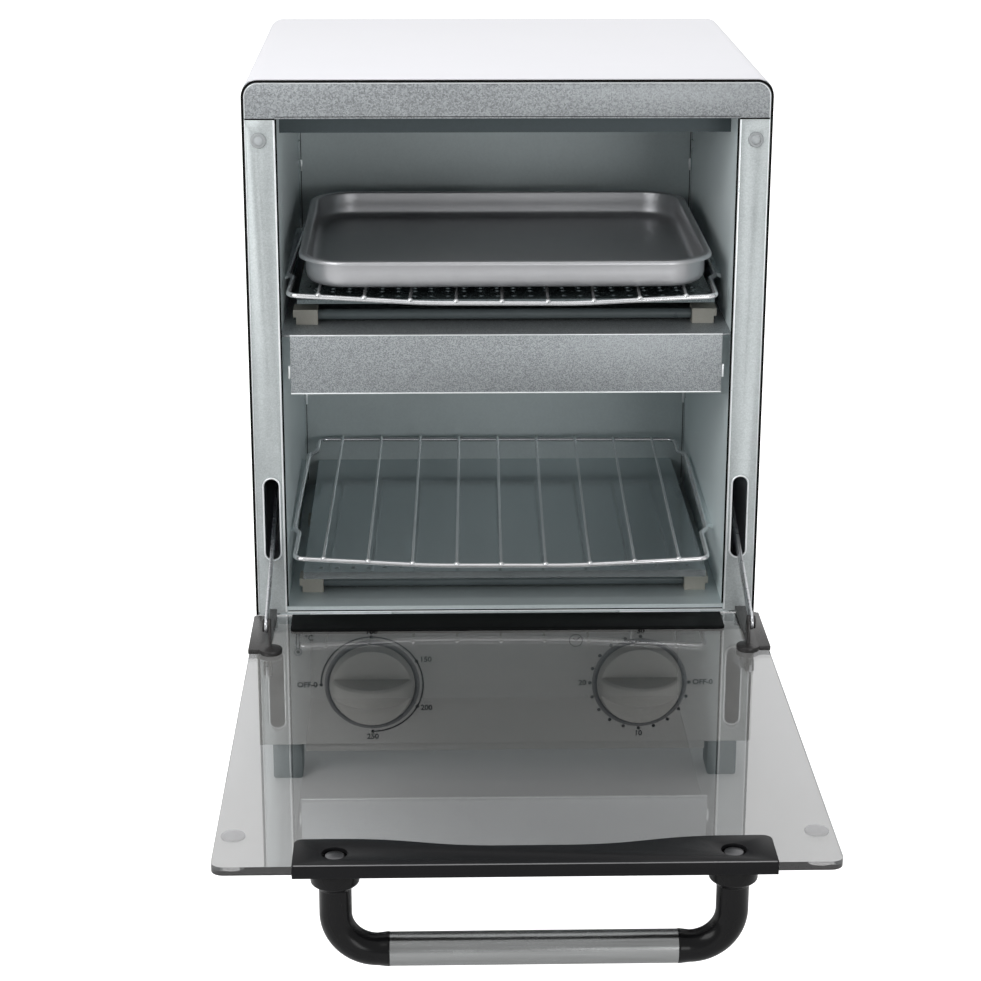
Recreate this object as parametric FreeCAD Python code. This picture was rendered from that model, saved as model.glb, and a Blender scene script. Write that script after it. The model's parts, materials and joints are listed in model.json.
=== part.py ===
import FreeCAD, Part
import math
import os

# Benchtop dry heat sterilizer with a drop-down glass door. Millimetres, +Z up, -Y is the front.
# Heights are above the bench. Depths are behind the front frame's face until placed() moves them.

# Driving dimensions
cabinet_width = 270.0
cabinet_height = 388.0
cabinet_depth = 238.0
foot_height = 22.0
console_height = 77.0
sheet = 1.2
seat_gap = 0.3
running_clearance = 0.05
overrun = 2.0

# Front frame
column_width = 16.5
lintel_height = 19.0
lintel_depth = 36.0
column_return = 12.0
cover_corner = 8.0
slot_width = 8.8
slot_inset = 9.8
slot_bottom = 31.0
slot_length = 46.3
slot_rim = 0.8
slot_rim_proud = 0.5
bumper_radius = 3.9
bumper_nose = 2.3
bumper_inset = 8.1
bumper_drop = 10.9
bumper_flange = 1.1
bumper_proud = 1.9
bumper_stem = 1.6

# Oven
oven_depth = 216.0
ceiling_drop = 13.2
floor_rise = 2.0
floor_lip = 2.0
floor_tab_drop = 1.8
floor_tab_inset = 12.5
floor_tab_length = 44.0
deck_height = 154.5
deck_front = 4.0
deck_flange = 31.7
deck_side_gap = 4.7
back_tab_size = 5.0
back_tab_shares = (0.22, 0.80)
rib_reach = 3.4
rib_start_depth = 58.0
rib_back_gap = 38.0
rib_edge = 0.8
rib_tall = 2.8

# Heaters and their guards
guard_rise = 17.0
guard_front = 13.0
guard_side_gap = 8.5
guard_sheet = 0.8
lower_guard_lip = 4.0
upper_guard_lip = 2.2
guard_leg_gap = 1.0
guard_hole = 3.4
hole_sides = 8
hole_margin = 9.4
hole_count = 24
lower_row_places = (7.0,)
upper_row_places = (7.0, 18.0, 24.5)
block_side_gap = 5.5
block_width = 13.0
block_length = 13.0
block_height = 8.0
block_notch_width = 1.5
block_notch_height = 4.0
front_block_depth = 27.0
rear_block_depth = 127.0
heater_radius = 2.75

# Racks
frame_wire = 1.3
cross_wire = 0.85
wire_sides = 8
bend_steps = 3
weld_sink = 0.65
cross_count = 9
cross_margin = 15.8
lower_rack_height = 33.2
upper_rack_height = 176.0
lower_rack_askew = 1.0
upper_rack_askew = 1.4
lower_rack_drift = 0.6
upper_rack_drift = 0.0
lower_rack_tilt = 0.8
upper_rack_tilt = 0.0
rack_front = 2.0
rack_sag = 4.0
rack_flat_half = 40.0
rack_narrow_gap = 6.7
rack_wide_gap = 3.4
rack_rear_gap = 7.9
rack_back_gap = 5.0
rack_front_jog_depth = 42.0
rack_rear_jog_inset = 31.0
rack_jog_run = 7.0
rack_bend = 5.0
rack_jog_bend = 4.0
rack_sag_bend = 400.0

# Tray
tray_side_gap = 13.7
tray_front = 6.5
tray_back_gap = 30.0
tray_depth = 15.5
tray_sheet = 0.9
tray_corner = 22.0
tray_foot = 5.0
tray_rim = 4.5
tray_bead = 1.0
tray_bead_drop = 1.2

# Console
panel_sheet = 1.5
panel_proud = 10.0
panel_drop = 9.6
panel_lift = 0.5
knob_height = 36.2
knob_inset = 62.2
knob_radius = 23.3
knob_face_radius = 21.5
knob_skirt = 5.0
knob_gap = 0.8
grip_thickness = 10.8
grip_reach = 17.0
grip_edge = 1.2
shaft_radius = 3.0
shaft_length = 14.0
shaft_hole = 4.0
control_width = 38.0
control_tall = 34.0
control_depth = 24.0
terminal_width = 30.0
terminal_depth = 14.0
terminal_height = 12.0
terminal_from_back = 28.0
gland_radius = 8.0
gland_bore = 3.6
gland_flange = 11.0
gland_length = 14.0
gland_flange_length = 3.0
gland_inset = 33.0
gland_height = 45.0

# Vents and feet
vent_width = 34.0
vent_height = 3.0
vent_pitch = 9.0
vent_count = 7
vent_inset = 80.0
vent_height_shares = (0.12, 0.72)
base_vent_count = 5
foot_width = 16.0
foot_length = 20.0
foot_inset = 15.0
foot_forward = 4.0
foot_back = 10.0
foot_edge = 1.0
foot_bore = 2.2
foot_recess = 3.0
foot_recess_depth = 6.0

# Door, open and level
glass_thickness = 4.0
glass_inset = 0.8
glass_rear = 14.5
glass_length = 291.5
glass_corner = 5.5
glass_top = 5.0
hinge_forward = 11.25
hinge_drop = 3.25
hinge_pin = 2.0
knuckle_radius = 4.0
knuckle_length = 5.9
bracket_plate = 2.5
bracket_wall = 2.0
bracket_inset = 0.3
bracket_width = 11.5
bracket_reach = 70.0
bracket_shoulder = 22.0
glass_edge_gap = 0.25
ear_sheet = 1.5
ear_half = 7.0
ear_tip = 3.6
clip_radius = 6.0
clip_back = 68.0
fixed_ear = 2.5
fixed_stem = 2.75
strip_inset = 20.3
strip_rear = 17.0
strip_depth = 23.0
strip_thickness = 1.2
strip_corner = 3.0
pad_radius = 5.4
pad_inset = 29.0
pad_side_gap = 8.5
pad_thickness = 0.8

# Support arms
rivet_forward = 60.0
rivet_rise = 17.0
rivet_radius = 2.0
rivet_head = 3.5
rivet_head_length = 1.0
arm_sheet = 1.5
arm_half = 4.0
arm_length = 120.0
arm_angle = 17.7
arm_side_gap = 0.2

# Handle
handle_offset = 3.0
clamp_inset = 32.3
clamp_top = 1.8
clamp_under = 0.3
clamp_front = 3.0
clamp_end_depth = 22.0
clamp_middle_depth = 14.5
clamp_middle_half = 12.0
clamp_shoulder_inset = 16.7
clamp_corner = 4.0
clamp_under_depth = 13.5
clamp_curve_share = 0.5
screw_inset = 50.0
screw_back = 8.5
screw_head_radius = 4.2
screw_head_height = 0.9
screw_radius = 2.0
screw_length = 24.0
screw_recess = 5.6
screw_hole = 2.6
handle_reach = 40.0
handle_rod = 7.0
handle_bend = 18.0
collar_radius = 10.5
collar_height = 6.5
collar_taper = 3.0
sleeve_radius = 7.6
sleeve_inset = 23.0
tube_radius = 7.35
tube_wall = 1.0
tube_seat = 5.0

# Levels and faces worked out from the above
half_width = cabinet_width / 2
body_bottom = foot_height
sill = foot_height + console_height
oven_half = half_width - column_width
oven_top = cabinet_height - lintel_height - sheet
ceiling = oven_top - ceiling_drop
oven_floor = sill + floor_rise
deck_top = sill + deck_height
rack_rear = oven_depth - rack_back_gap
rack_rear_jog = rack_rear - rack_rear_jog_inset
rib_end = oven_depth - rib_back_gap
tray_back = oven_depth - tray_back_gap
slot_offset = half_width - slot_inset
guard_half = oven_half - guard_side_gap
block_outer = oven_half - block_side_gap
knob_offset = half_width - knob_inset
gland_offset = half_width - gland_inset
vent_offset = half_width - vent_inset
foot_offset = half_width - foot_inset
glass_upper = sill + glass_top
glass_lower = glass_upper - glass_thickness
glass_half = half_width - glass_inset
glass_front = -glass_rear - glass_length
hinge_y = -hinge_forward
hinge_z = sill - hinge_drop
bracket_outer = half_width - bracket_inset
bracket_inner = bracket_outer - bracket_width
knuckle_end = bracket_inner + knuckle_length
rivet_z = sill + rivet_rise
pad_offset = half_width - pad_side_gap
clamp_half = half_width - clamp_inset
screw_offset = half_width - screw_inset
screw_y = glass_front + screw_back
sleeve_start = screw_offset - sleeve_inset
panel_face = -panel_proud
panel_top = sill - panel_drop
console_middle = foot_height + knob_height
front_reach = glass_rear + glass_length + clamp_front
back_reach = cabinet_depth + gland_flange_length
place = FreeCAD.Vector(0, (front_reach - back_reach) / 2, 0)

X = FreeCAD.Vector(1, 0, 0)
Y = FreeCAD.Vector(0, 1, 0)
Z = FreeCAD.Vector(0, 0, 1)
sides = (("left", -1), ("right", 1))


def at(x, y, z):
    return FreeCAD.Vector(x, y, z)


def box(x, y, z):
    """Block between two limits along each axis."""
    size = (x[1] - x[0], y[1] - y[0], z[1] - z[0])
    return Part.makeBox(size[0], size[1], size[2], at(x[0], y[0], z[0]))


def round_bar(start, direction, radius, length):
    return Part.makeCylinder(radius, length, start, direction)


def rounded_outline(x, y, z, corner):
    """Closed outline of a rectangle with round corners, level at height z."""
    face = Part.makePlane(x[1] - x[0], y[1] - y[0], at(x[0], y[0], z))
    prism = face.extrude(Z * corner)
    uprights = [edge for edge in prism.Edges if abs(edge.tangentAt(edge.FirstParameter).z) > 0.5]
    base = min(prism.makeFillet(corner, uprights).Faces, key=lambda part: part.CenterOfMass.z)
    return base.OuterWire


def rounded_plate(x, y, z, corner):
    return Part.Face(rounded_outline(x, y, z[0], corner)).extrude(Z * (z[1] - z[0]))


def mirrored(shape, side):
    """The right-hand shape, or its mirror image for the left."""
    if side > 0:
        return shape
    return shape.mirror(at(0, 0, 0), X)


def bend_runs(points, bends):
    """Straight runs and tangent arcs along a route: (start, end) or (entry, middle, leave, turn, bend)."""
    runs = []
    start = points[0]
    for before, corner, after, bend in zip(points, points[1:], points[2:], bends):
        along = (corner - before).normalize()
        onward = (after - corner).normalize()
        turn = along.getAngle(onward)
        setback = bend * math.tan(turn / 2)
        entry = corner - along * setback
        leave = corner + onward * setback
        centre = corner + (onward - along).normalize() * (bend / math.cos(turn / 2))
        runs.append(("straight", start, entry))
        runs.append(("arc", entry, leave, centre, along.cross(onward).normalize(), turn))
        start = leave
    runs.append(("straight", start, points[-1]))
    return runs


def bent_rod(points, bends, radius):
    """Round rod whose arcs are revolved about their centres."""
    solids = []
    for run in bend_runs(points, bends):
        if run[0] == "straight":
            solids.append(round_bar(run[1], run[2] - run[1], radius, run[1].distanceToPoint(run[2])))
            heading = (run[2] - run[1]).normalize()
        else:
            section = Part.Face(Part.Wire(Part.makeCircle(radius, run[1], heading)))
            solids.append(section.revolve(run[3], run[4], math.degrees(run[5])))
    return fused(solids[0], *solids[1:])


def faceted_ring(centre, heading, radius, sides, up):
    """Polygon round a wire at one station, square to its heading."""
    across = heading.cross(up).normalize()
    over = across.cross(heading).normalize()
    turns = [(i + 0.5) * 2 * math.pi / sides for i in range(sides)]
    spokes = [across * math.cos(turn) + over * math.sin(turn) for turn in turns]
    corners = [centre + spoke * radius for spoke in spokes]
    return Part.makePolygon(corners + corners[:1])


def bent_wire(points, bends, radius):
    """Wire with a few flat sides, lofted through its stations so that it stays light."""
    stations = [(points[0], (points[1] - points[0]).normalize())]
    for run in bend_runs(points, bends):
        if run[0] == "arc":
            entry, leave, centre, axis, turn = run[1:]
            heading = axis.cross(entry - centre).normalize()
            for step in range(bend_steps + 1):
                rotation = FreeCAD.Rotation(axis, math.degrees(turn) * step / bend_steps)
                spoke = rotation.multVec(entry - centre)
                stations.append((centre + spoke, rotation.multVec(heading)))
    stations.append((points[-1], (points[-1] - points[-2]).normalize()))
    reach = radius / math.cos(math.pi / wire_sides)
    rings = [faceted_ring(spot, heading, reach, wire_sides, Z) for spot, heading in stations]
    return Part.makeLoft(rings, True, True)


def fused(first, *others):
    return first.fuse(list(others)).removeSplitter()


def placed(node, shape):
    """Moves a finished solid to the shared origin and writes it."""
    moved = shape.copy()
    moved.translate(place)
    moved.exportStep("parts/" + node + ".step")


def cover_outline(y):
    """Upright outline of the cabinet with its two rounded top corners."""
    low, high, corner = body_bottom, cabinet_height, cover_corner
    lean = corner * (1 - math.sqrt(0.5))
    points = [at(-half_width, y, low), at(-half_width, y, high - corner), at(-half_width + corner, y, high)]
    points += [at(half_width - corner, y, high), at(half_width, y, high - corner), at(half_width, y, low)]
    arcs = [Part.Arc(points[1], at(-half_width + lean, y, high - lean), points[2]).toShape()]
    arcs += [Part.Arc(points[3], at(half_width - lean, y, high - lean), points[4]).toShape()]
    lines = [Part.LineSegment(points[i], points[j]).toShape() for i, j in ((0, 1), (2, 3), (4, 5), (5, 0))]
    return Part.Wire(Part.__sortEdges__(lines + arcs))


def make_outer_cover():
    block = Part.Face(cover_outline(sheet)).extrude(Y * (cabinet_depth - 2 * sheet))
    inner_corner = cover_corner - sheet
    hollow = box((-half_width + sheet, half_width - sheet), (0, cabinet_depth),
                 (body_bottom - overrun, cabinet_height - sheet))
    uppers = [edge for edge in hollow.Edges
              if edge.BoundBox.ZMin > body_bottom and edge.BoundBox.XLength < sheet]
    return block.cut(hollow.makeFillet(inner_corner, uppers))


def make_back_panel():
    panel = Part.Face(cover_outline(cabinet_depth - sheet)).extrude(Y * sheet)
    cuts = []
    for share in vent_height_shares:
        for row in range(vent_count):
            for middle in (-vent_offset, vent_offset):
                low = body_bottom + share * (cabinet_height - body_bottom) + row * vent_pitch
                cuts.append(box((middle - vent_width / 2, middle + vent_width / 2),
                                (cabinet_depth - overrun, cabinet_depth + overrun), (low, low + vent_height)))
    inlet = at(gland_offset, cabinet_depth - overrun, gland_height)
    cuts.append(round_bar(inlet, Y, gland_radius, 2 * overrun))
    return panel.cut(cuts)


def make_base_plate():
    inner = half_width - sheet
    plate = box((-inner, inner), (sheet, cabinet_depth - sheet), (body_bottom, body_bottom + sheet))
    cuts = []
    for row in range(base_vent_count):
        for middle in (-vent_offset, vent_offset):
            front = cabinet_depth / 2 + row * vent_pitch
            cuts.append(box((middle - vent_width / 2, middle + vent_width / 2), (front, front + vent_height),
                            (body_bottom - overrun, body_bottom + overrun)))
    return plate.cut(cuts)


def make_foot(front):
    """Moulded foot with bevelled lower edges and a screw recess, on the right-hand side."""
    y = (front, front + foot_length)
    foot = box((foot_offset - foot_width / 2, foot_offset + foot_width / 2), y, (0, foot_height))
    lower = [edge for edge in foot.Edges
             if edge.BoundBox.ZMax < foot_edge and edge.BoundBox.YLength > foot_edge]
    foot = foot.makeChamfer(foot_edge, lower)
    middle = at(foot_offset, front + foot_length / 2, 0)
    recess = round_bar(middle, Z, foot_recess, foot_recess_depth)
    return foot.cut([recess, round_bar(middle, Z, foot_bore, foot_height)])


def make_lintel():
    face = Part.Face(cover_outline(0)).extrude(Y * sheet)
    keep = box((-half_width, half_width), (0, sheet), (oven_top, cabinet_height - sheet))
    shelf = box((-oven_half, oven_half), (sheet, lintel_depth), (oven_top, oven_top + sheet))
    return fused(face.common(keep), shelf)


def slot_prism(grow, y):
    """Upright slot with round ends in the right-hand column, grown all round."""
    radius = slot_width / 2 + grow
    low = sill + slot_bottom + slot_width / 2
    high = sill + slot_bottom + slot_length - slot_width / 2
    ends = [round_bar(at(slot_offset, y[0], level), Y, radius, y[1] - y[0]) for level in (low, high)]
    return fused(box((slot_offset - radius, slot_offset + radius), y, (low, high)), *ends)


def make_column():
    face = box((oven_half, half_width), (0, sheet), (sill, oven_top))
    outer = half_width - sheet
    flange = box((outer - sheet, outer), (sheet, column_return), (sill, oven_top))
    rim = slot_prism(slot_rim, (-slot_rim_proud, 0))
    stem_start = at(half_width - bumper_inset, -overrun, oven_top - bumper_drop)
    stem = round_bar(stem_start, Y, bumper_stem, 2 * overrun)
    return fused(face, flange, rim).cut([slot_prism(0, (-overrun, overrun)), stem])


def make_bumper():
    """Soft door stop: a flange, a raised nose and a stem through the column."""
    base = at(half_width - bumper_inset, 0, oven_top - bumper_drop)
    flange = round_bar(base, Y * -1, bumper_radius, bumper_flange)
    nose = round_bar(base, Y * -1, bumper_nose, bumper_proud)
    return fused(flange, nose, round_bar(base, Y, bumper_stem, overrun))


def make_ceiling():
    drop = box((-oven_half, oven_half), (lintel_depth, lintel_depth + sheet), (ceiling, oven_top + sheet))
    roof = box((-oven_half, oven_half), (lintel_depth + sheet, oven_depth), (ceiling, ceiling + sheet))
    return fused(drop, roof)


def make_wall():
    """Right-hand oven wall with a pressed rib under each rack's side wire."""
    wall = box((oven_half, oven_half + sheet), (sheet, oven_depth), (sill, oven_top))
    outer = oven_half + sheet / 2
    ribs = []
    for height, tilt in ((lower_rack_height, lower_rack_tilt), (upper_rack_height, upper_rack_tilt)):
        top = sill + height - frame_wire - seat_gap
        inner = oven_half - rib_reach
        profile = ((outer, 0), (inner, 0), (inner, -rib_edge), (outer, -rib_tall))
        corners = [at(x, rib_start_depth, top + z) for x, z in profile]
        rib = Part.Face(Part.makePolygon(corners + corners[:1])).extrude(Y * (rib_end - rib_start_depth))
        rib.rotate(at(0, rack_rear, top), X, tilt)
        ribs.append(rib)
    return fused(wall, *ribs)


def make_oven_back():
    """Rear wall with the small tabs that hook it to the side walls."""
    wall = box((-oven_half - sheet, oven_half + sheet), (oven_depth, oven_depth + sheet), (sill, oven_top))
    notches = []
    for share in back_tab_shares:
        low = sill + share * (oven_top - sill)
        for side in (-1, 1):
            x = sorted((side * oven_half, side * (oven_half - sheet)))
            notches.append(box(x, (oven_depth - back_tab_size, oven_depth), (low, low + back_tab_size)))
    return fused(wall, *notches)


def make_oven_floor():
    plate = box((-oven_half, oven_half), (sheet, oven_depth), (oven_floor - sheet, oven_floor))
    lip = box((-oven_half, oven_half), (0, sheet), (sill, oven_floor + floor_lip))
    tabs = []
    for side in (-1, 1):
        outer = oven_half - floor_tab_inset
        x = sorted((side * outer, side * (outer - floor_tab_length)))
        tabs.append(box(x, (0, sheet), (sill - floor_tab_drop, sill)))
    return fused(plate, lip, *tabs)


def make_sill_plate():
    inner = half_width - sheet
    return box((-inner, inner), (sheet, 2 * sheet), (panel_top, sill))


def make_mid_deck():
    plate = box((-oven_half, oven_half), (deck_front + sheet, oven_depth), (deck_top - sheet, deck_top))
    half = oven_half - deck_side_gap
    flange = box((-half, half), (deck_front, deck_front + sheet), (deck_top - deck_flange, deck_top))
    return fused(plate, flange)


def make_guard(base, lip_height, rows):
    """Perforated cover over a pair of heaters, with a front lip and side legs."""
    top = base + guard_rise
    plate = box((-guard_half, guard_half), (guard_front, oven_depth), (top - guard_sheet, top))
    lip = box((-guard_half, guard_half), (guard_front, guard_front + guard_sheet), (top - lip_height, top))
    leg_y = (front_block_depth + block_length + guard_leg_gap, rear_block_depth - guard_leg_gap)
    legs = []
    for side in (-1, 1):
        x = sorted((side * guard_half, side * (guard_half - guard_sheet)))
        legs.append(box(x, leg_y, (base, top)))
    holes = []
    first = hole_margin - guard_half
    hole_pitch = -2 * first / (hole_count - 1)
    for row in rows:
        for i in range(hole_count):
            middle = at(first + i * hole_pitch, guard_front + row, top - overrun)
            outline = faceted_ring(middle, Z, guard_hole / 2, hole_sides, Y)
            holes.append(Part.Face(outline).extrude(Z * (2 * overrun)))
    return fused(plate, lip, *legs).cut(holes)


def make_block(base, front):
    """Ceramic block on the right-hand side that carries one heater's end."""
    x = (block_outer - block_width, block_outer)
    block = box(x, (front, front + block_length), (base, base + block_height))
    notch = box((block_outer - block_notch_width, block_outer), (front, front + block_length),
                (base, base + block_notch_height))
    middle = at(x[0], front + block_length / 2, base + block_height / 2)
    return block.cut([notch, round_bar(middle, X, heater_radius, block_width)])


def make_heater(base, front):
    middle = at(-block_outer, front + block_length / 2, base + block_height / 2)
    return round_bar(middle, X, heater_radius, 2 * block_outer)


def make_rack(height, askew, drift, tilt):
    """Wire rack: one bent frame wire with cross wires welded on top, lying a little askew."""
    level = sill + height
    sagged = level - rack_sag
    narrow = oven_half - rack_narrow_gap
    wide = oven_half - rack_wide_gap
    rear = oven_half - rack_rear_gap
    points = [at(0, rack_front, sagged), at(rack_flat_half, rack_front, sagged)]
    points += [at(narrow, rack_front, level), at(narrow, rack_front_jog_depth, level)]
    points += [at(wide, rack_front_jog_depth + rack_jog_run, level), at(wide, rack_rear_jog, level)]
    points += [at(rear, rack_rear_jog + rack_jog_run, level), at(rear, rack_rear, level)]
    points += [at(0, rack_rear, level)]
    bends = [rack_sag_bend, rack_bend] + [rack_jog_bend] * 4 + [rack_bend]
    half = bent_wire(points, bends, frame_wire)
    wires = []
    cross_pitch = 2 * (narrow - cross_margin) / (cross_count - 1)
    for i in range(cross_count):
        x = cross_margin - narrow + i * cross_pitch
        slope = max(0, abs(x) - rack_flat_half) / (narrow - rack_flat_half)
        lift = frame_wire + cross_wire - weld_sink
        start = at(x, rack_front - frame_wire / 2, sagged + rack_sag * slope + lift)
        wires.append(bent_wire([start, at(x, rack_rear + frame_wire, level + lift)], [], cross_wire))
    rack = fused(half, mirrored(half, -1), *wires)
    rack.rotate(at(0, (rack_front + rack_rear) / 2, level), Z, -askew)
    rack.rotate(at(0, rack_rear, level), X, tilt)
    rack.translate(X * -drift)
    return rack


def make_tray():
    """Drawn pan with a rounded foot, a flat rim and a turned-down bead."""
    tray_half = oven_half - tray_side_gap
    base = sill + upper_rack_height + frame_wire + 2 * cross_wire - weld_sink + seat_gap
    top = base + tray_depth

    def level_plate(grow, low, high):
        half = tray_half + grow
        depth = (tray_front - grow, tray_back + grow)
        return rounded_plate((-half, half), depth, (low, high), tray_corner + grow)

    def pan(inset, low, foot):
        body = level_plate(-inset, low, top)
        return body.makeFillet(foot, [edge for edge in body.Edges if edge.BoundBox.ZMax < low + foot / 2])

    rim = level_plate(tray_rim, top - tray_sheet, top)
    bead = level_plate(tray_rim, top - tray_sheet - tray_bead_drop, top - tray_sheet)
    bead = bead.cut(level_plate(tray_rim - tray_bead, top - tray_sheet - overrun, top))
    shell = fused(pan(0, base, tray_foot), rim, bead)
    return shell.cut(pan(tray_sheet, base + tray_sheet, tray_foot - tray_sheet))


def make_panel():
    inner = half_width - sheet
    low = foot_height + panel_lift
    block = box((-half_width, half_width), (panel_face, sheet), (low, panel_top))
    block = block.makeFillet(panel_sheet, [edge for edge in block.Edges if edge.BoundBox.YMax < 0])
    hollow = box((-half_width + panel_sheet, half_width - panel_sheet), (panel_face + panel_sheet, sheet),
                 (low + panel_sheet, panel_top - panel_sheet))
    shelf = box((-inner, inner), (sheet, 2 * sheet), (panel_top - panel_sheet, panel_top))
    holes = [round_bar(at(x, panel_face - overrun, console_middle), Y, shaft_hole, 2 * overrun + panel_sheet)
             for x in (-knob_offset, knob_offset)]
    return fused(block.cut(hollow), shelf).cut(holes)


def make_control(x):
    """Switch or timer body behind the panel, with a bush for the knob's shaft."""
    front = panel_face + panel_sheet
    body = box((x - control_width / 2, x + control_width / 2), (front, front + control_depth),
               (console_middle - control_tall / 2, console_middle + control_tall / 2))
    shaft_start = at(x, front, console_middle)
    return body.cut(round_bar(shaft_start, Y, shaft_radius + running_clearance, shaft_length))


def make_knob(x, tip):
    """Tapered skirt, flat face and a half-moon grip, on its shaft."""
    back = panel_face - knob_gap
    face = back - knob_skirt
    skirt = Part.makeCone(knob_radius, knob_face_radius, knob_skirt, at(x, back, console_middle), Y * -1)
    low = console_middle - grip_thickness / 2
    ends = [at(x - knob_face_radius, face, low), at(x + knob_face_radius, face, low)]
    curve = Part.Arc(ends[0], at(x, face - grip_reach, low), ends[1]).toShape()
    chord = Part.LineSegment(ends[1], ends[0]).toShape()
    grip = Part.Face(Part.Wire([curve, chord])).extrude(Z * grip_thickness)
    rims = [edge for edge in grip.Edges
            if edge.BoundBox.ZLength < grip_edge and edge.BoundBox.YLength > grip_edge]
    grip = grip.makeChamfer(grip_edge, rims)
    shaft = round_bar(at(x, back, console_middle), Y, shaft_radius, knob_gap + panel_sheet + shaft_length / 2)
    line = round_bar(at(x + tip * knob_face_radius / 2, face, console_middle), Y * -1, grip_edge, grip_edge)
    return fused(skirt, grip, shaft, line)


def make_gland():
    """Inlet bush for the mains lead, through the back panel."""
    start = at(gland_offset, cabinet_depth - gland_length, gland_height)
    body = round_bar(start, Y, gland_radius, gland_length)
    flange = round_bar(at(gland_offset, cabinet_depth, gland_height), Y, gland_flange, gland_flange_length)
    through = round_bar(start, Y, gland_bore, gland_length + gland_flange_length)
    return fused(body, flange).cut(through)


def make_terminal():
    base = body_bottom + sheet
    back = cabinet_depth - terminal_from_back
    x = (gland_offset - terminal_width / 2, gland_offset + terminal_width / 2)
    return box(x, (back - terminal_depth, back), (base, base + terminal_height))


def make_glass():
    plate = box((-glass_half, glass_half), (glass_front, -glass_rear), (glass_lower, glass_upper))
    corners = [edge for edge in plate.Edges
               if edge.BoundBox.ZLength > glass_thickness / 2 and edge.BoundBox.YMin < glass_front / 2]
    plate = plate.makeFillet(glass_corner, corners)
    holes = [round_bar(at(handle_offset + x, screw_y, glass_lower), Z, screw_hole, glass_thickness)
             for x in (-screw_offset, screw_offset)]
    return plate.cut(holes)


def make_strip():
    """Heat shield strip on the glass beside the hinge."""
    half = half_width - strip_inset
    top = glass_upper + strip_thickness
    plate = box((-half, half), (-strip_rear - strip_depth, -strip_rear), (glass_upper, top))
    corners = [edge for edge in plate.Edges
               if edge.BoundBox.ZLength > strip_thickness / 2 and edge.BoundBox.YMax < -strip_rear]
    return plate.makeFillet(strip_corner, corners)


def make_fixed_ear():
    """Ear on the console that carries the right-hand hinge pin."""
    inner = knuckle_end + seat_gap
    eye = round_bar(at(inner, hinge_y, hinge_z), X, knuckle_radius, fixed_ear)
    stem = box((inner, inner + fixed_ear), (panel_face, panel_face + fixed_stem), (panel_top, hinge_z))
    foot = box((inner, inner + fixed_ear), (panel_face, 0), (panel_top, panel_top + fixed_ear / 2))
    pin = round_bar(at(bracket_inner, hinge_y, hinge_z), X, hinge_pin, inner + fixed_ear - bracket_inner)
    return fused(eye, stem, foot, pin)


def make_bracket():
    """Right-hand hinge bracket with its knuckle, glass clip, and the ear and rivet for the arm."""
    top = glass_upper + bracket_plate
    wall_front = -glass_rear + glass_edge_gap
    plate = box((bracket_inner, bracket_outer), (-bracket_reach, -bracket_shoulder), (glass_upper, top))
    neck = box((bracket_inner, knuckle_end), (-bracket_shoulder, wall_front), (glass_upper, top))
    wall = box((bracket_inner, knuckle_end), (wall_front, wall_front + bracket_wall), (hinge_z, top))
    knuckle = round_bar(at(bracket_inner, hinge_y, hinge_z), X, knuckle_radius, knuckle_length)
    clip = round_bar(at(bracket_inner, -clip_back, glass_upper), Z, clip_radius, bracket_plate)
    profile = ((-ear_half, glass_upper), (-ear_tip, rivet_z), (ear_tip, rivet_z), (ear_half, glass_upper))
    corners = [at(bracket_inner, y - rivet_forward, z) for y, z in profile]
    ear = Part.Face(Part.makePolygon(corners + corners[:1])).extrude(X * ear_sheet)
    tip = round_bar(at(bracket_inner, -rivet_forward, rivet_z), X, ear_tip, ear_sheet)
    shank_length = ear_sheet + 2 * arm_side_gap + arm_sheet
    shank = round_bar(at(bracket_inner, -rivet_forward, rivet_z), X, rivet_radius, shank_length)
    head_start = at(bracket_inner + shank_length, -rivet_forward, rivet_z)
    head = round_bar(head_start, X, rivet_head, rivet_head_length)
    bore = round_bar(at(bracket_inner - overrun, hinge_y, hinge_z), X, hinge_pin + running_clearance,
                     knuckle_length + 2 * overrun)
    return fused(plate, neck, wall, knuckle, clip, ear, tip, shank, head).cut(bore)


def make_arm():
    """Flat support arm on the right, rising back from its rivet into the cabinet's side."""
    x = bracket_inner + ear_sheet + arm_side_gap
    strip = box((x, x + arm_sheet), (0, arm_length), (-arm_half, arm_half))
    ends = [round_bar(at(x, y, 0), X, arm_half, arm_sheet) for y in (0, arm_length)]
    arm = fused(strip, *ends).cut(round_bar(at(x, 0, 0), X, rivet_radius + running_clearance, arm_sheet))
    arm.rotate(at(0, 0, 0), X, arm_angle)
    arm.translate(at(0, -rivet_forward, rivet_z))
    return arm


def make_pad():
    return round_bar(at(pad_offset, glass_front + pad_inset, glass_upper), Z, pad_radius, pad_thickness)


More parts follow.
